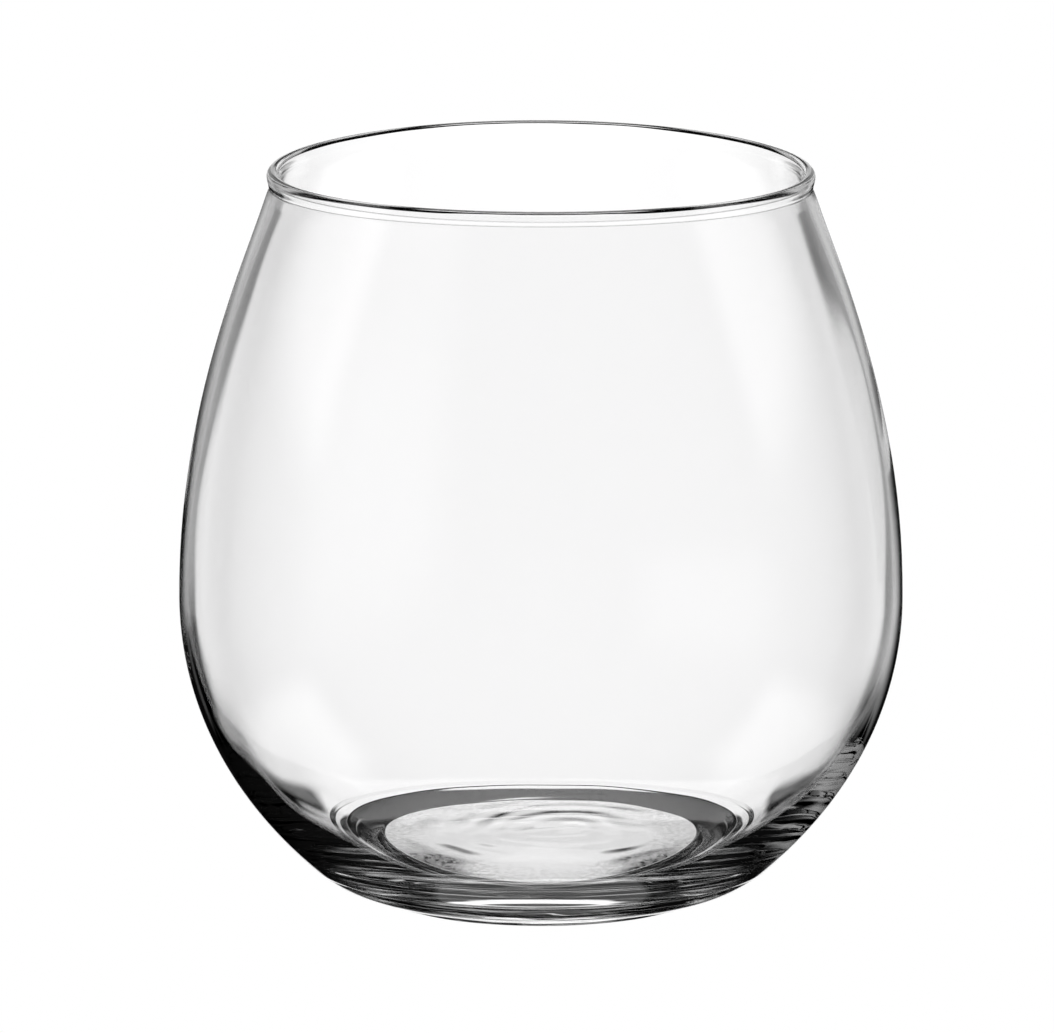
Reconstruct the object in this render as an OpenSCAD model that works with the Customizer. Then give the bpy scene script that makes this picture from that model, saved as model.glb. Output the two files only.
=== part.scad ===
// A stemless wine glass: one piece of clear glass with a thick base.
// The wall is drawn once, in the half plane of radius and height, and turned about Z.
// The origin is the middle of the ring that the glass stands on, with +Z up.

/* [Bowl] */
// Overall height, from the table to the top of the rim
height = 98; // [84:0.5:120]
// Outer diameter at the widest level
belly_d = 96; // [82:0.5:110]
// Height of the widest level above the table
belly_h = 40.4; // [32:0.2:50]
// Thickness of the wall at the widest level
belly_wall = 0.8; // [0.6:0.05:2]

/* [Rim] */
// Outer diameter across the rounded bead of the rim
rim_d = 72.4; // [60:0.2:84]
// Thickness of the bead, which is also the width of its round top
bead_t = 1.6; // [1.3:0.05:3]
// Thickness of the wall just under the bead
rim_wall = 1.15; // [0.6:0.05:1.25]
// Depth of the neck under the bead's widest level, where the wall swells into the bead
neck_h = 1.6; // [0.6:0.1:4]
// Lean of the wall at the neck, in degrees from upright
rim_lean = 16.6; // [0:0.2:24]

/* [Base] */
// Outer diameter of the flat ring that the glass stands on
foot_d = 43; // [34:0.5:50]
// Width of that ring
foot_w = 1.5; // [1:0.1:4]
// Depth of the hollow under the base
punt_h = 0.3; // [0.2:0.1:3]
// Outer diameter at the soft heel, where the base turns up into the bowl
heel_d = 57.2; // [52:0.2:62]
// Height of the heel above the table
heel_h = 2.5; // [1.5:0.1:4]
// Slope of the outside just above the heel, in degrees from level
heel_slope = 50; // [40:1:60]
// Thickness of the glass floor at its middle
floor_t = 5.2; // [2.6:0.1:9]
// Diameter of the floor inside, out to where it turns up into the bowl
floor_d = 54; // [36:0.5:56]
// How much lower the middle of the floor is than its edge
floor_dip = 0.2; // [0:0.1:1]
// Slope of the inside where it leaves the floor, in degrees from level
floor_slope = 28; // [6:1:30]

/* [Hidden] */

belly_r = belly_d/2;
foot_r = foot_d/2;
heel_r = heel_d/2;
floor_r = floor_d/2;
floor_h = punt_h + floor_t;

// The bead is a round of half its thickness, and the neck stands right under it
bead_r = bead_t/2;
bead_mid_r = rim_d/2 - bead_r;
bead_mid_h = height - bead_r;
neck_z = bead_mid_h - neck_h;
neck_out_r = bead_mid_r + rim_wall/2;
neck_in_r = bead_mid_r - rim_wall/2;

// How far each side curve's handles reach, as shares of the rise or run that they follow
lower_out_shares = [0.09, 0.63];
lower_in_shares = [0.09, 0.66];
upper_shares = [0.46, 0.21];

// Points along the dome or the dish, a side curve, the round top of the bead and the swell below it
dome_steps = 10;
curve_steps = 18;
bead_steps = 6;
soft_steps = 3;

// Point at t on a curve from a to d, with the handle points b and c
function along(a, b, c, d, t) =
    pow(1 - t, 3)*a + 3*pow(1 - t, 2)*t*b + 3*(1 - t)*t*t*c + pow(t, 3)*d;

// Points of such a curve, its start left out
function curve(a, b, c, d) =
    [for (i = [1:curve_steps]) along(a, b, c, d, i/curve_steps)];

// Side of the bowl below its widest level: it leaves low at the given slope and ends upright
function lower_side(low, slope, wide, shares) =
    curve(
        low,
        low + shares[0]*(wide[0] - low[0])*[cos(slope), sin(slope)],
        [wide[0], wide[1] - shares[1]*(wide[1] - low[1])],
        wide
    );

// Side of the bowl above its widest level: it starts upright and ends at the neck's lean
function upper_side(wide, neck) =
    let (rise = neck[1] - wide[1])
    curve(
        wide,
        wide + [0, upper_shares[0]*rise],
        neck + upper_shares[1]*rise*[tan(rim_lean), -1],
        neck
    );

// Swell from the neck out to the bead's side, level by level, both ends upright
function swell(from_r, to_r) =
    [for (i = [1:soft_steps])
        let (t = i/soft_steps)
        [from_r + (to_r - from_r)*t*t*(3 - 2*t), neck_z + neck_h*t]];

// Round top of the bead, from its outer side over to its inner side
function bead_top() =
    [for (i = [1:bead_steps - 1])
        let (turn = 180*i/bead_steps)
        [bead_mid_r, bead_mid_h] + bead_r*[cos(turn), sin(turn)]];

// Shallow dome under the base, from its middle out to the ring
function punt_dome() =
    let (ring_in_r = foot_r - foot_w)
    [for (i = [0:dome_steps])
        let (t = i/dome_steps)
        [ring_in_r*t, punt_h*pow(1 - t*t, 2)]];

function backwards(points) = [for (i = [len(points) - 1:-1:0]) points[i]];

function outside() =
    concat(
        [[foot_r, 0], [heel_r, heel_h]],
        lower_side([heel_r, heel_h], heel_slope, [belly_r, belly_h], lower_out_shares),
        upper_side([belly_r, belly_h], [neck_out_r, neck_z]),
        swell(neck_out_r, bead_mid_r + bead_r)
    );

// Very shallow dish of the floor inside, from its middle out to its edge
function floor_dish() =
    [for (i = [0:dome_steps])
        let (t = i/dome_steps)
        [floor_r*t, floor_h + floor_dip*t*t]];

function inside() =
    let (wide = [belly_r - belly_wall, belly_h])
    concat(
        floor_dish(),
        lower_side([floor_r, floor_h + floor_dip], floor_slope, wide, lower_in_shares),
        upper_side(wide, [neck_in_r, neck_z]),
        swell(neck_in_r, bead_mid_r - bead_r)
    );

module stemless_glass() {
    color("whitesmoke", 0.4)
        rotate_extrude($fn = 160)
            polygon(concat(punt_dome(), outside(), bead_top(), backwards(inside())));
}

stemless_glass();
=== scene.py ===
"""A stemless wine glass: one spun piece of clear glass in a white studio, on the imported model"""

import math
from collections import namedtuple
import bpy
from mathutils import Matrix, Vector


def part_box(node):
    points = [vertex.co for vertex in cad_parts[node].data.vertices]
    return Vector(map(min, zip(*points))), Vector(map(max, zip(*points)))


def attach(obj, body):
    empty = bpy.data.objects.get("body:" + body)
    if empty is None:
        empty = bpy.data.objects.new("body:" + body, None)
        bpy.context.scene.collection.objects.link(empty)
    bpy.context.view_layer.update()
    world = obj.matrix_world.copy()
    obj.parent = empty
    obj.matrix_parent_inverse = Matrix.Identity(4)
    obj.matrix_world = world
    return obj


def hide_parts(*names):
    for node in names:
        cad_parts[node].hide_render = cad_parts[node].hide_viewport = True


bl_info = {
    "name": "Stemless wine glass",
    "version": (1, 0, 0),
    "blender": (4, 5, 0),
    "location": "3D View > Sidebar > Glass",
    "description": "Spins a clear stemless wine glass with a beaded rim and lights it against white",
    "category": "Object",
}

import bpy
from bpy.props import FloatProperty, FloatVectorProperty, IntProperty, PointerProperty
from mathutils import Vector, noise

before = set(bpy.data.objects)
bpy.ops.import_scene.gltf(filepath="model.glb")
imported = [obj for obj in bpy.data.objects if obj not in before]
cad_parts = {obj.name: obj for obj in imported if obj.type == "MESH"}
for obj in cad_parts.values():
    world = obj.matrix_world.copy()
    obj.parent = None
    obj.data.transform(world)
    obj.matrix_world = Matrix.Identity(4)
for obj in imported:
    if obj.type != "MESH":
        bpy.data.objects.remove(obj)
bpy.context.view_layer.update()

MM = 0.001
GLASS_NODE = "stemless_glass"
BODY = "root"
NODE_LOW, NODE_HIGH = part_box(GLASS_NODE)

# In pixels: the photograph's frame, and in it the belly's width, the glass's axis from the left and
# the middle of the glass's height from the top
PHOTO_WIDE = 1054
PHOTO_TALL = 1033
BELLY_PX = 724.8
AXIS_PX = 541.0
MID_HEIGHT_PX = 529.4

# How far the side curves' handles reach, as shares of the rise or run that they follow
OUTER_LEAVE_SHARE = 0.09
OUTER_ARRIVE_SHARE = 0.63
INNER_LEAVE_SHARE = 0.09
INNER_ARRIVE_SHARE = 0.66
UPPER_LEAVE_SHARE = 0.46
UPPER_ARRIVE_SHARE = 0.21

# Points along the wall's section: close together low down, where the thick glass bends light most
HOLLOW_STEPS = 24
CORNER_STEPS = 8
CHAMFER_STEPS = 12
LOWER_STEPS = 110
UPPER_STEPS = 26
SWELL_STEPS = 8
BEAD_STEPS = 18
FLOOR_STEPS = 40

# The point of the outer side that the heel's rounding aims at, and the least step up from the
# rounding's last point to the side's next one
HEEL_AIM_STEP = LOWER_STEPS//20
HEEL_GAP = 0.1*MM

# Points of the skin that are closer than this become one
MERGE_GAP = 0.002*MM

# The middle of the floor's swirl, and the share of the floor's radius where it starts to fade
SWIRL_MIDDLE = Vector((4.0*MM, 1.0*MM))
SWIRL_FADE = 0.5
# The size of the noise that breaks the swirl's arcs, in swirl gaps, how far it bends them, in
# radians, and how high the arcs stand beside the strokes
BREAK_SIZE = 3
ARC_BEND = 5
ARC_HEIGHT = 0.6
# The length of the swirl's strokes, in swirl gaps, and the layer of noise that they are read from
STROKE_LENGTH = 2
STROKE_LAYER = 3.0

# The share of the floor's radius where the wall's waves start, and how much of a step upwards
# counts in their noise, which draws them out upwards
WAVE_START = 0.5
WAVE_UPWARD = 0.4

# The underside ripple's own place in the noise, and over how many heel heights it fades upwards
RIPPLE_PLACE = Vector((7, 5, 3))
RIPPLE_FADE = 4

# The noise of the scuffs, the values in it at which a spot is least and most worn, and how rough
# the least worn spot is beside the most worn one
SCUFF_SIZE = 0.8*MM
SCUFF_DETAIL = 6
SCUFF_LEAST_AT = 0.35
SCUFF_MOST_AT = 0.6
SCUFF_LEAST = 0.3

# The noise of the finest ripples in the fire polish
FINE_RIPPLE_SIZE = 9*MM
FINE_RIPPLE_DETAIL = 1

# The camera's nearest and farthest sight, in metres
CLIP_START = 0.01
CLIP_END = 100
# How far the pale floor lies below the foot of the glass
FLOOR_DROP = 0.01*MM
# Facets of the light tent, round it and from top to bottom
TENT_SEGMENTS = 64
TENT_RINGS = 32
# How many times a ray of light may be bent or reflected
LIGHT_TURNS = 32
HALF_TURN_DEG = 180

# How bright the light tent is where no card hangs
SURROUND_LIGHT = 0.004
# A card of the tent, seen from the glass in the direction that the camera looks: how far its middle
# is to the right and up, its half width and half height, how far its soft edge reaches either way
# and how far it is turned, all in degrees, and how bright it is. Later cards hang in front.
Card = namedtuple("Card", "name side up half_w half_h edge turn light")
CARDS = (
    Card("table", 0, -36, 95, 14, 6, 0, 0.9),
    Card("table_near", 0, -70, 45, 20, 2, 0, 0.6),
    Card("left_window", -122, 4, 24, 16, 10, 0, 0.4),
    Card("left_wall", -36, -1, 12, 13, 6, 0, 0.6),
    Card("right_wall", 34, 0, 14, 12, 6, 0, 0.6),
    Card("left_flag", -29, -7, 6, 5, 2, 0, 0.0),
    Card("dark_mat", 0, -29, 24, 20, 1, 0, 0.0),
    Card("dark_mat_left", -33, -38, 14, 26, 1, -42, 0.0),
    Card("dark_mat_right", 33, -38, 14, 26, 1, 42, 0.0),
    Card("table_gap", -1, -34, 9, 3, 1, 0, 1.2),
    Card("backdrop_top", 0, 20, 25, 14, 4, 0, 0.6),
    Card("top_flag", 0, 30, 8, 8, 2, 0, 0.1),
    Card("backdrop", 0, 5, 7, 17, 1, 0, 1.1),
    Card("backdrop_foot", 0, -15, 2.5, 5, 0.5, 0, 1.2),
)


class GlassShape(bpy.types.PropertyGroup):
    """Sizes of the glass, from the table up"""

    height: FloatProperty(
        name="Height", description="From the table to the top of the rim",
        default=round(NODE_HIGH.z - NODE_LOW.z, 4), min=0.08, max=0.13, unit="LENGTH")
    belly_d: FloatProperty(
        name="Belly", description="Outer diameter at the widest level",
        default=round(NODE_HIGH.x - NODE_LOW.x, 4), min=0.08, max=0.12, unit="LENGTH")
    belly_h: FloatProperty(
        name="Belly height", description="Height of the widest level",
        default=40.4*MM, min=0.03, max=0.06, unit="LENGTH")
    belly_wall: FloatProperty(
        name="Wall", description="Thickness of the wall at the widest level",
        default=0.8*MM, min=0.0006, max=0.003, unit="LENGTH")
    rim_d: FloatProperty(
        name="Rim", description="Outer diameter across the bead of the rim",
        default=72.4*MM, min=0.06, max=0.09, unit="LENGTH")
    bead_t: FloatProperty(
        name="Bead", description="Thickness of the round bead on the rim",
        default=1.6*MM, min=0.001, max=0.003, unit="LENGTH")
    rim_wall: FloatProperty(
        name="Rim wall", description="Thickness of the wall just under the bead",
        default=1.15*MM, min=0.0006, max=0.003, unit="LENGTH")
    neck_h: FloatProperty(
        name="Neck", description="Depth over which the wall swells into the bead",
        default=1.6*MM, min=0.0005, max=0.005, unit="LENGTH")
    rim_lean: FloatProperty(
        name="Rim lean", description="Lean of the wall at the neck, from upright",
        default=math.radians(16.6), min=0, max=0.6, unit="ROTATION")
    foot_d: FloatProperty(
        name="Foot", description="Outer diameter of the ring that the glass stands on",
        default=43.0*MM, min=0.03, max=0.06, unit="LENGTH")
    foot_w: FloatProperty(
        name="Foot width", description="Width of that ring",
        default=1.5*MM, min=0.0005, max=0.006, unit="LENGTH")
    foot_soft: FloatProperty(
        name="Foot softness", description="Reach of the rounding of the ring's outer edge",
        default=0.25*MM, min=0.0001, max=0.001, unit="LENGTH")
    hollow_h: FloatProperty(
        name="Hollow", description="Depth of the hollow underneath",
        default=0.3*MM, min=0, max=0.005, unit="LENGTH")
    heel_d: FloatProperty(
        name="Heel", description="Outer diameter where the base turns up into the bowl",
        default=57.2*MM, min=0.05, max=0.07, unit="LENGTH")
    heel_h: FloatProperty(
        name="Heel height", description="Height of that turn",
        default=2.5*MM, min=0.001, max=0.006, unit="LENGTH")
    heel_slope: FloatProperty(
        name="Heel slope", description="Slope of the outside just above the heel, from level",
        default=math.radians(50), min=0.5, max=1.2, unit="ROTATION")
    heel_soft: FloatProperty(
        name="Heel softness", description="Reach of the rounding of the heel",
        default=2.5*MM, min=0.0001, max=0.004, unit="LENGTH")
    heel_draw: FloatProperty(
        name="Heel draw", description="How far the face between the foot and the heel is drawn in",
        default=0.16*MM, min=0, max=0.001, unit="LENGTH")
    floor_t: FloatProperty(
        name="Floor", description="Thickness of the glass floor at its middle",
        default=5.2*MM, min=0.002, max=0.012, unit="LENGTH")
    floor_d: FloatProperty(
        name="Floor width", description="Diameter of the floor inside, out to where it turns up",
        default=54.0*MM, min=0.03, max=0.06, unit="LENGTH")
    floor_dip: FloatProperty(
        name="Floor dip", description="How much lower the middle of the floor is than its edge",
        default=0.2*MM, min=0, max=0.002, unit="LENGTH")
    floor_slope: FloatProperty(
        name="Floor slope", description="Slope of the inside where it leaves the floor, from level",
        default=math.radians(28), min=0, max=0.8, unit="ROTATION")
    spin_steps: IntProperty(
        name="Spin steps", description="Facets around the glass",
        default=224, min=32, max=320)


class FlowMarks(bpy.types.PropertyGroup):
    """What the molten glass kept of its making: small departures from a perfect turned shape"""

    rim_sag: FloatProperty(
        name="Rim sag", description="How far the rim sank at its two sides as the flame rounded it",
        default=0.55*MM, min=0, max=0.002, unit="LENGTH")
    rim_tip: FloatProperty(
        name="Rim tip", description="How much lower the rim is on the right than on the left",
        default=0.15*MM, min=0, max=0.002, unit="LENGTH")
    rim_reach: FloatProperty(
        name="Rim reach", description="How far down the wall the rim's sag is felt",
        default=18.0*MM, min=0.001, max=0.05, unit="LENGTH")
    floor_swirl: FloatProperty(
        name="Floor swirl", description="Height of the swirl left in the floor by the plunger",
        default=0.025*MM, min=0, max=0.0002, unit="LENGTH")
    swirl_gap: FloatProperty(
        name="Swirl gap", description="Distance between two arcs of the swirl",
        default=4.6*MM, min=0.001, max=0.02, unit="LENGTH")
    under_ripple: FloatProperty(
        name="Underside ripple", description="Height of the chill ripple of the underside",
        default=0.015*MM, min=0, max=0.0002, unit="LENGTH")
    ripple_size: FloatProperty(
        name="Ripple size", description="Length of one chill ripple",
        default=5.0*MM, min=0.001, max=0.02, unit="LENGTH")
    wall_wave: FloatProperty(
        name="Wall wave", description="Height of the slow waves on the inside of the wall",
        default=0.035*MM, min=0, max=0.0005, unit="LENGTH")
    wave_size: FloatProperty(
        name="Wave size", description="Length of one wave of the wall",
        default=8.0*MM, min=0.005, max=0.1, unit="LENGTH")


class GlassFinish(bpy.types.PropertyGroup):
    """Looks of the glass"""

    tint: FloatVectorProperty(
        name="Tint", description="Colour of the clear glass",
        subtype="COLOR", size=3, min=0, max=1, default=(0.998, 0.9965, 0.998))
    bend: FloatProperty(
        name="Refractive index", description="How strongly the glass bends light",
        default=1.52, min=1.3, max=1.9)
    scuff: FloatProperty(
        name="Scuffs", description="Roughness of the worn ring that the glass stands on",
        default=0.18, min=0, max=1)
    scuff_h: FloatProperty(
        name="Scuff height", description="How far up from the table the ring is worn",
        default=0.12*MM, min=0.00001, max=0.001, unit="LENGTH")
    fine_ripple: FloatProperty(
        name="Fine ripple", description="Depth of the finest ripples in the fire polish",
        default=0.0004*MM, min=0, max=0.0001, unit="LENGTH")


class Studio(bpy.types.PropertyGroup):
    """The camera and the light around the glass"""

    camera_far: FloatProperty(
        name="Camera distance", description="From the middle of the glass to the camera",
        default=2.0, min=0.5, max=6, unit="LENGTH")
    camera_down: FloatProperty(
        name="Camera tilt", description="How far the camera looks down, from level",
        default=math.radians(11.21), min=0, max=1.5, unit="ROTATION")
    sensor_w: FloatProperty(
        name="Sensor", description="Width of the camera's sensor, in millimetres",
        default=36.0, min=10, max=60)
    white: FloatVectorProperty(
        name="White", description="Colour of the floor and the far wall",
        subtype="COLOR", size=3, min=0, max=1, default=(1.0, 1.0, 1.0))
    floor_w: FloatProperty(
        name="Floor", description="Width of the pale floor",
        default=3.0, min=1, max=20, unit="LENGTH")
    tent_r: FloatProperty(
        name="Light tent", description="Radius of the light tent around the glass",
        default=60.0, min=10, max=500, unit="LENGTH")


def deselect_all():
    """Nothing stays selected, so the next operator acts only on what it is given"""
    bpy.ops.object.select_all(action="DESELECT")


def ease(t):
    """A smooth step from 0 to 1"""
    t = min(max(t, 0), 1)
    return t*t*(3 - 2*t)


def curve_points(start, leave, arrive, end, steps):
    """Points along a curve with the handles leave and arrive, its start left out"""
    points = []
    for step in range(1, steps + 1):
        t = step/steps
        s = 1 - t
        points.append(s**3*start + 3*s*s*t*leave + 3*s*t*t*arrive + t**3*end)
    return points


def round_corner(before, corner, after, reach):
    """Points of a soft corner that starts and ends at the given reach from it"""
    start = corner + (before - corner).normalized()*reach
    end = corner + (after - corner).normalized()*reach
    points = []
    for step in range(CORNER_STEPS + 1):
        t = step/CORNER_STEPS
        points.append((1 - t)**2*start + 2*t*(1 - t)*corner + t*t*end)
    return points


def drawn_in(start, end, depth):
    """Points of a face between two ends, drawn into the glass by the given depth, ends left out"""
    inward = Vector((start.y - end.y, end.x - start.x)).normalized()
    points = []
    for step in range(1, CHAMFER_STEPS):
        t = step/CHAMFER_STEPS
        points.append(start.lerp(end, t) + 4*t*(1 - t)*depth*inward)
    return points


def lower_side(low, slope, wide, leave_share, arrive_share):
    """The side below the widest level: it leaves low at the slope and ends upright"""
    leave = low + leave_share*(wide.x - low.x)*Vector((math.cos(slope), math.sin(slope)))
    arrive = Vector((wide.x, wide.y - arrive_share*(wide.y - low.y)))
    return curve_points(low, leave, arrive, wide, LOWER_STEPS)


def upper_side(wide, neck, lean):
    """The side above the widest level: it starts upright and ends at the neck's lean"""
    rise = neck.y - wide.y
    leave = wide + Vector((0, UPPER_LEAVE_SHARE*rise))
    arrive = neck + UPPER_ARRIVE_SHARE*rise*Vector((math.tan(lean), -1))
    return curve_points(wide, leave, arrive, neck, UPPER_STEPS)


def swell(from_r, to_r, low_z, rise):
    """Points of the wall's swell into the bead, upright at both ends"""
    points = []
    for step in range(1, SWELL_STEPS + 1):
        t = step/SWELL_STEPS
        points.append(Vector((from_r + (to_r - from_r)*ease(t), low_z + rise*t)))
    return points


def underside(shape):
    """From the middle of the hollow underneath out to the ring that the glass stands on"""
    ring_in_r = shape.foot_d/2 - shape.foot_w
    points = []
    for step in range(HOLLOW_STEPS + 1):
        t = step/HOLLOW_STEPS
        points.append(Vector((ring_in_r*t, shape.hollow_h*(1 - t*t)**2)))
    return points


def outer_base(shape, first_up):
    """From the ring's edge over the drawn-in face to the soft heel"""
    ring_mid = Vector((shape.foot_d/2 - shape.foot_w/2, 0))
    foot = Vector((shape.foot_d/2, 0))
    heel = Vector((shape.heel_d/2, shape.heel_h))
    foot_corner = round_corner(ring_mid, foot, heel, shape.foot_soft)
    heel_corner = round_corner(foot, heel, first_up, shape.heel_soft)
    return foot_corner + drawn_in(foot_corner[-1], heel_corner[0], shape.heel_draw) + heel_corner


def bead_round(middle, radius):
    """Points of the bead's half round from its outer side over the top, both ends left out"""
    points = []
    for step in range(1, BEAD_STEPS):
        turn = math.pi*step/BEAD_STEPS
        points.append(middle + radius*Vector((math.cos(turn), math.sin(turn))))
    return points


def dished_floor(edge_r, low_z, dip):
    """Points of the floor inside, from its lowest place in the middle out to its edge"""
    points = []
    for step in range(FLOOR_STEPS + 1):
        t = step/FLOOR_STEPS
        points.append(Vector((edge_r*t, low_z + dip*t*t)))
    return points


def glass_outline(shape):
    """Half of the wall's section as points of radius and height: from the middle of the hollow
    underneath, over the foot, up the outside, over the bead and down the inside to the floor"""
    heel = Vector((shape.heel_d/2, shape.heel_h))
    bead_r = shape.bead_t/2
    bead_mid = Vector((shape.rim_d/2 - bead_r, shape.height - bead_r))
    neck_z = bead_mid.y - shape.neck_h
    neck_out = Vector((bead_mid.x + shape.rim_wall/2, neck_z))
    neck_in = Vector((bead_mid.x - shape.rim_wall/2, neck_z))
    wide_out = Vector((shape.belly_d/2, shape.belly_h))
    wide_in = Vector((wide_out.x - shape.belly_wall, shape.belly_h))
    floor_h = shape.hollow_h + shape.floor_t
    floor_edge = Vector((shape.floor_d/2, floor_h + shape.floor_dip))

    outside = lower_side(heel, shape.heel_slope, wide_out, OUTER_LEAVE_SHARE, OUTER_ARRIVE_SHARE)
    base = outer_base(shape, outside[HEEL_AIM_STEP])
    outside = [point for point in outside if point.y > base[-1].y + HEEL_GAP]
    outside += upper_side(wide_out, neck_out, shape.rim_lean)
    outside += swell(neck_out.x, bead_mid.x + bead_r, neck_z, shape.neck_h)
    bead = bead_round(bead_mid, bead_r)
    inside = dished_floor(floor_edge.x, floor_h, shape.floor_dip)
    inside += lower_side(
        floor_edge, shape.floor_slope, wide_in, INNER_LEAVE_SHARE, INNER_ARRIVE_SHARE)
    inside += upper_side(wide_in, neck_in, shape.rim_lean)
    inside += swell(neck_in.x, bead_mid.x - bead_r, neck_z, shape.neck_h)
    return underside(shape) + base + outside + bead + inside[::-1]


def draw_outline(points):
    """An object whose mesh is one line through the points, drawn from one vertex by extruding"""
    deselect_all()
    first = points[0]
    bpy.ops.mesh.primitive_plane_add(size=MM, location=(first.x, 0, first.y))
    piece = bpy.context.object
    bpy.ops.object.mode_set(mode="EDIT")
    bpy.ops.mesh.merge(type="CENTER")
    for here, there in zip(points, points[1:]):
        step = (there.x - here.x, 0, there.y - here.y)
        bpy.ops.mesh.extrude_region_move(TRANSFORM_OT_translate={"value": step})
    bpy.ops.object.mode_set(mode="OBJECT")
    return piece


def spin_round(piece, steps):
    """Turns the piece's line once round the Z axis into a closed skin that faces outwards"""
    deselect_all()
    piece.select_set(True)
    bpy.context.view_layer.objects.active = piece
    bpy.ops.object.transform_apply(location=True, rotation=True, scale=True)
    bpy.ops.object.mode_set(mode="EDIT")
    bpy.ops.mesh.select_all(action="SELECT")
    bpy.ops.mesh.spin(steps=steps, angle=2*math.pi, center=(0, 0, 0), axis=(0, 0, 1))
    bpy.ops.mesh.select_all(action="SELECT")
    bpy.ops.mesh.remove_doubles(threshold=MERGE_GAP)
    bpy.ops.mesh.normals_make_consistent(inside=False)
    bpy.ops.object.mode_set(mode="OBJECT")


def sink_rim(mesh, shape, marks):
    """Lets the rim sink a little at its two sides, as it did when the flame softened it"""
    for vertex in mesh.vertices:
        place = vertex.co
        felt = ease((place.z - shape.height + marks.rim_reach)/marks.rim_reach)
        if felt == 0:
            continue
        sideways = place.x/math.hypot(place.x, place.y)
        place.z -= felt*(marks.rim_sag*sideways**2 + marks.rim_tip*(1 + sideways)/2)


def swirl_at(place, marks):
    """Height of the floor's swirl: arcs round a middle that lies off the axis, broken by noise"""
    from_middle = Vector((place.x - SWIRL_MIDDLE.x, place.y - SWIRL_MIDDLE.y, 0))
    gap = marks.swirl_gap
    turn = math.atan2(from_middle.y, from_middle.x)
    broken = noise.noise(from_middle/(BREAK_SIZE*gap))
    arcs = math.sin(2*math.pi*from_middle.length/gap + turn + ARC_BEND*broken)
    strokes = noise.noise(Vector((place.x/(STROKE_LENGTH*gap), place.y/gap, STROKE_LAYER)))
    return marks.floor_swirl*(arcs*(ARC_HEIGHT + ARC_HEIGHT*broken) + strokes)


def rise_inside(place, floor_r, marks):
    """How far the inside rises at a place: the swirl on the floor and the waves up the wall"""
    outwards = math.hypot(place.x, place.y)/floor_r
    on_floor = 1 - ease((outwards - SWIRL_FADE)/(1 - SWIRL_FADE))
    on_wall = ease(outwards - WAVE_START)
    wave = noise.noise(Vector((place.x, place.y, WAVE_UPWARD*place.z))/marks.wave_size)
    return on_floor*swirl_at(place, marks) + marks.wall_wave*wave*on_wall


def rise_outside(place, heel_h, marks):
    """How far the outside rises at a place: the chill ripple, underneath and at the heel"""
    low = 1 - ease((place.z - heel_h)/(RIPPLE_FADE*heel_h))
    return low*marks.under_ripple*noise.noise(place/marks.ripple_size + RIPPLE_PLACE)


def leave_flow_marks(mesh, shape, marks):
    """Moves the skin along its normals by the small marks that molten glass keeps, and never
    below the table"""
    middle = Vector((0, 0, shape.height/2))
    moves = []
    for vertex in mesh.vertices:
        place = vertex.co
        faces_in = vertex.normal.dot(middle - place) > 0
        if faces_in:
            rise = rise_inside(place, shape.floor_d/2, marks)
        else:
            rise = rise_outside(place, shape.heel_h, marks)
        moves.append(vertex.normal*rise)
    for vertex, move in zip(mesh.vertices, moves):
        vertex.co += move
        vertex.co.z = max(vertex.co.z, 0)


class GLASS_OT_spin_glass(bpy.types.Operator):
    """Draws the wall's section, spins it into the glass and leaves the marks of its making"""

    bl_idname = "glass.spin_glass"
    bl_label = "Spin the glass"

    def execute(self, context):
        shape = context.scene.glass_shape
        marks = context.scene.glass_marks
        piece = draw_outline(glass_outline(shape))
        piece.name = "spun_glass"
        piece.data.name = "spun_glass"
        spin_round(piece, shape.spin_steps)
        sink_rim(piece.data, shape, marks)
        leave_flow_marks(piece.data, shape, marks)
        bpy.ops.object.shade_smooth()
        piece.data.materials.append(clear_glass(context.scene.glass_finish))
        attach(piece, BODY)
        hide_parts(GLASS_NODE)
        return {"FINISHED"}


def add_node(tree, kind, **settings):
    """A node of a shader tree, with the given settings of its own"""
    node = tree.nodes.new(kind)
    for name, value in settings.items():
        setattr(node, name, value)
    return node


def math_step(tree, operation, *values):
    """The result of one sum in a shader tree, from sockets or plain numbers"""
    node = add_node(tree, "ShaderNodeMath", operation=operation)
    for socket, value in zip(node.inputs, values):
        if isinstance(value, (int, float)):
            socket.default_value = value
        else:
            tree.links.new(value, socket)
    return node.outputs[0]


def noise_step(tree, place, size, detail):
    """Noise whose blobs are about the given size, around the middle value 0.5"""
    node = add_node(tree, "ShaderNodeTexNoise")
    node.inputs["Scale"].default_value = 1/size
    node.inputs["Detail"].default_value = detail
    tree.links.new(place, node.inputs["Vector"])
    return node.outputs["Fac"]


def range_step(tree, value, low, high, low_result, high_result):
    """Carries a value from one range to another by a smooth step"""
    node = add_node(tree, "ShaderNodeMapRange", interpolation_type="SMOOTHSTEP")
    tree.links.new(value, node.inputs["Value"])
    for name, number in (
            ("From Min", low), ("From Max", high), ("To Min", low_result), ("To Max", high_result)):
        node.inputs[name].default_value = number
    return node.outputs["Result"]


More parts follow.
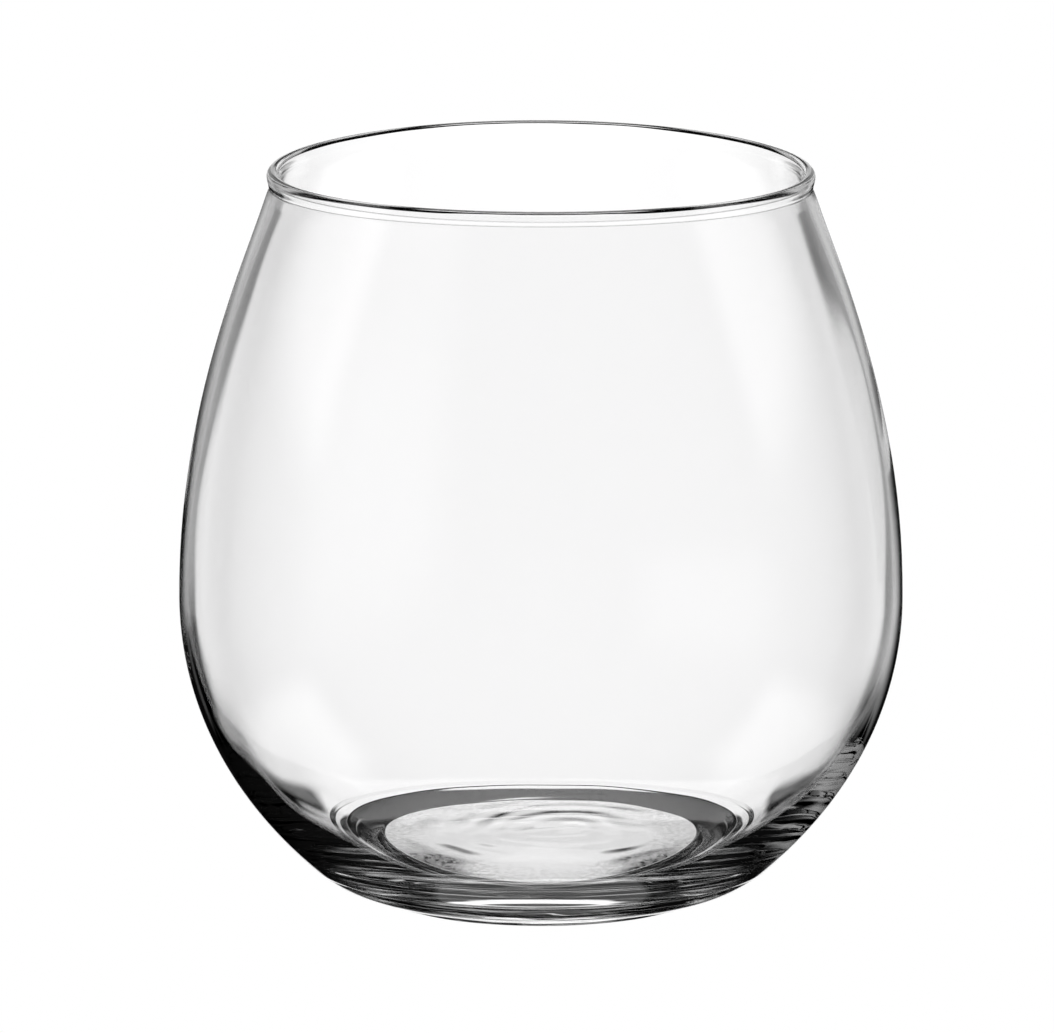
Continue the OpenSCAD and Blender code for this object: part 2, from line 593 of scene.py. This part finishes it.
def clear_glass(finish):
    """Clear, fire-polished glass with the finest ripples and a scuffed standing ring"""
    material = bpy.data.materials.new("clear_glass")
    material.use_nodes = True
    tree = material.node_tree
    shader = tree.nodes["Principled BSDF"]
    shader.inputs["Base Color"].default_value = (*finish.tint, 1)
    shader.inputs["IOR"].default_value = finish.bend
    shader.inputs["Transmission Weight"].default_value = 1
    place = add_node(tree, "ShaderNodeTexCoord").outputs["Object"]
    split = add_node(tree, "ShaderNodeSeparateXYZ")
    tree.links.new(place, split.inputs[0])

    worn = range_step(tree, split.outputs["Z"], 0, finish.scuff_h, 1, 0)
    spots = noise_step(tree, place, SCUFF_SIZE, SCUFF_DETAIL)
    scuffs = range_step(tree, spots, SCUFF_LEAST_AT, SCUFF_MOST_AT, SCUFF_LEAST, 1)
    rough = math_step(tree, "MULTIPLY", math_step(tree, "MULTIPLY", worn, scuffs), finish.scuff)
    tree.links.new(rough, shader.inputs["Roughness"])

    ripple = noise_step(tree, place, FINE_RIPPLE_SIZE, FINE_RIPPLE_DETAIL)
    bump = add_node(tree, "ShaderNodeBump")
    bump.inputs["Strength"].default_value = 1
    bump.inputs["Distance"].default_value = finish.fine_ripple
    tree.links.new(ripple, bump.inputs["Height"])
    tree.links.new(bump.outputs["Normal"], shader.inputs["Normal"])
    return material


def soft_card_group():
    """A mask that is 1 inside a card of the tent and fades out over its soft edge"""
    group = bpy.data.node_groups.new("soft_card", "ShaderNodeTree")
    for name in ("Side", "Up", "Card side", "Card up", "Half width", "Half height", "Edge", "Turn"):
        group.interface.new_socket(name, in_out="INPUT", socket_type="NodeSocketFloat")
    group.interface.new_socket("Mask", in_out="OUTPUT", socket_type="NodeSocketFloat")
    given = add_node(group, "NodeGroupInput").outputs
    result = add_node(group, "NodeGroupOutput").inputs
    across = math_step(group, "SUBTRACT", given["Side"], given["Card side"])
    across = math_step(group, "WRAP", across, HALF_TURN_DEG, -HALF_TURN_DEG)
    above = math_step(group, "SUBTRACT", given["Up"], given["Card up"])
    turn = math_step(group, "RADIANS", given["Turn"])
    cosine = math_step(group, "COSINE", turn)
    sine = math_step(group, "SINE", turn)
    across_cosine = math_step(group, "MULTIPLY", across, cosine)
    above_sine = math_step(group, "MULTIPLY", above, sine)
    above_cosine = math_step(group, "MULTIPLY", above, cosine)
    across_sine = math_step(group, "MULTIPLY", across, sine)
    along_w = math_step(group, "ADD", across_cosine, above_sine)
    along_h = math_step(group, "SUBTRACT", above_cosine, across_sine)
    masks = []
    for along, half in ((along_w, "Half width"), (along_h, "Half height")):
        fade = add_node(group, "ShaderNodeMapRange", interpolation_type="SMOOTHSTEP")
        group.links.new(math_step(group, "ABSOLUTE", along), fade.inputs["Value"])
        outer = math_step(group, "ADD", given[half], given["Edge"])
        inner = math_step(group, "SUBTRACT", given[half], given["Edge"])
        group.links.new(outer, fade.inputs["From Min"])
        group.links.new(inner, fade.inputs["From Max"])
        masks.append(fade.outputs["Result"])
    group.links.new(math_step(group, "MULTIPLY", *masks), result["Mask"])
    return group


def new_glow(name):
    """A material that only glows, with its emission shader"""
    material = bpy.data.materials.new(name)
    material.use_nodes = True
    tree = material.node_tree
    tree.nodes.clear()
    glow = add_node(tree, "ShaderNodeEmission")
    end = add_node(tree, "ShaderNodeOutputMaterial")
    tree.links.new(glow.outputs[0], end.inputs["Surface"])
    material.cycles.emission_sampling = "NONE"
    return material, glow


def tent_light(cards):
    """The tent's light: each card shines with its own brightness over the ones behind it"""
    material, glow = new_glow("light_tent")
    tree = material.node_tree
    place = add_node(tree, "ShaderNodeTexCoord").outputs["Object"]
    split = add_node(tree, "ShaderNodeSeparateXYZ")
    tree.links.new(place, split.inputs[0])
    right, above, towards = split.outputs
    ahead = math_step(tree, "MULTIPLY", towards, -1)
    squares = [math_step(tree, "MULTIPLY", part, part) for part in (right, ahead)]
    level = math_step(tree, "SQRT", math_step(tree, "ADD", *squares))
    side = math_step(tree, "DEGREES", math_step(tree, "ARCTAN2", right, ahead))
    up = math_step(tree, "DEGREES", math_step(tree, "ARCTAN2", above, level))
    group = soft_card_group()
    light = None
    for card in cards:
        mask = add_node(tree, "ShaderNodeGroup", node_tree=group, label=card.name)
        tree.links.new(side, mask.inputs["Side"])
        tree.links.new(up, mask.inputs["Up"])
        mask.inputs["Card side"].default_value = card.side
        mask.inputs["Card up"].default_value = card.up
        mask.inputs["Half width"].default_value = card.half_w
        mask.inputs["Half height"].default_value = card.half_h
        mask.inputs["Edge"].default_value = card.edge
        mask.inputs["Turn"].default_value = card.turn
        cover = add_node(tree, "ShaderNodeMix", data_type="FLOAT")
        tree.links.new(mask.outputs["Mask"], cover.inputs["Factor"])
        if light is None:
            cover.inputs["A"].default_value = SURROUND_LIGHT
        else:
            tree.links.new(light, cover.inputs["A"])
        cover.inputs["B"].default_value = card.light
        light = cover.outputs["Result"]
    tree.links.new(light, glow.inputs["Strength"])
    return material


def plain_glow(name, colour):
    """An even colour without any shadow"""
    material, glow = new_glow(name)
    glow.inputs["Color"].default_value = (*colour, 1)
    return material


def set_camera(scene, studio, shape):
    """A long lens that looks a little down on the middle of the glass, as in the photograph"""
    deselect_all()
    down = studio.camera_down
    far = studio.camera_far
    middle = shape.height/2
    bpy.ops.object.camera_add(
        location=(0, -far*math.cos(down), middle + far*math.sin(down)),
        rotation=(math.pi/2 - down, 0, 0))
    camera = bpy.context.object
    camera.name = "camera"
    lens = camera.data
    lens.sensor_width = studio.sensor_w
    px_per_m = BELLY_PX/shape.belly_d
    lens.lens = studio.sensor_w*px_per_m*far/PHOTO_WIDE
    lens.shift_x = (PHOTO_WIDE/2 - AXIS_PX)/PHOTO_WIDE
    lens.shift_y = (MID_HEIGHT_PX - PHOTO_TALL/2)/PHOTO_WIDE
    lens.clip_start = CLIP_START
    lens.clip_end = CLIP_END
    scene.camera = camera
    return camera


def lay_floor(studio):
    """The pale floor, which only the camera sees: in the glass the tent shows in its place"""
    deselect_all()
    bpy.ops.mesh.primitive_plane_add(size=studio.floor_w, location=(0, 0, -FLOOR_DROP))
    floor = bpy.context.object
    floor.name = "pale_floor"
    floor.data.materials.append(plain_glow("pale_floor", studio.white))
    for way in ("diffuse", "glossy", "transmission", "volume_scatter", "shadow"):
        setattr(floor, "visible_" + way, False)


def hang_tent(studio, camera):
    """The light tent, a sphere round the glass that turns with the camera as on a turntable"""
    deselect_all()
    bpy.ops.mesh.primitive_uv_sphere_add(
        segments=TENT_SEGMENTS, ring_count=TENT_RINGS, radius=studio.tent_r)
    tent = bpy.context.object
    tent.name = "light_tent"
    bpy.ops.object.shade_smooth()
    tent.data.materials.append(tent_light(CARDS))
    tent.parent = camera
    tent.location = (0, 0, -studio.camera_far)
    tent.visible_camera = False


class GLASS_OT_set_stage(bpy.types.Operator):
    """Sets the camera, the pale floor and the light tent"""

    bl_idname = "glass.set_stage"
    bl_label = "Set the stage"

    def execute(self, context):
        scene = context.scene
        studio = scene.glass_studio
        camera = set_camera(scene, studio, scene.glass_shape)
        lay_floor(studio)
        hang_tent(studio, camera)
        world = bpy.data.worlds.new("far_wall")
        world.use_nodes = True
        world.node_tree.nodes["Background"].inputs["Color"].default_value = (*studio.white, 1)
        scene.world = world
        scene.view_settings.view_transform = "Standard"
        scene.cycles.max_bounces = LIGHT_TURNS
        scene.cycles.transmission_bounces = LIGHT_TURNS
        scene.cycles.glossy_bounces = LIGHT_TURNS
        return {"FINISHED"}


class GLASS_PT_maker(bpy.types.Panel):
    """Lists the steps that make the glass and its stage"""

    bl_idname = "GLASS_PT_maker"
    bl_label = "Stemless wine glass"
    bl_space_type = "VIEW_3D"
    bl_region_type = "UI"
    bl_category = "Glass"

    def draw(self, context):
        scene = context.scene
        for group in (scene.glass_shape, scene.glass_marks, scene.glass_finish, scene.glass_studio):
            box = self.layout.box()
            for name in group.__annotations__:
                box.prop(group, name)
        self.layout.operator(GLASS_OT_spin_glass.bl_idname)
        self.layout.operator(GLASS_OT_set_stage.bl_idname)


CLASSES = (
    GlassShape, FlowMarks, GlassFinish, Studio,
    GLASS_OT_spin_glass, GLASS_OT_set_stage,
    GLASS_PT_maker,
)


def register():
    """Makes the sizes, the steps and the panel known to Blender"""
    for one in CLASSES:
        bpy.utils.register_class(one)
    bpy.types.Scene.glass_shape = PointerProperty(type=GlassShape)
    bpy.types.Scene.glass_marks = PointerProperty(type=FlowMarks)
    bpy.types.Scene.glass_finish = PointerProperty(type=GlassFinish)
    bpy.types.Scene.glass_studio = PointerProperty(type=Studio)


def unregister():
    """Takes them away again, in the opposite order"""
    del bpy.types.Scene.glass_studio
    del bpy.types.Scene.glass_finish
    del bpy.types.Scene.glass_marks
    del bpy.types.Scene.glass_shape
    for one in reversed(CLASSES):
        bpy.utils.unregister_class(one)


def main():
    """Makes the glass and its stage"""
    register()
    bpy.ops.glass.spin_glass()
    bpy.ops.glass.set_stage()


if __name__ == "__main__":
    main()
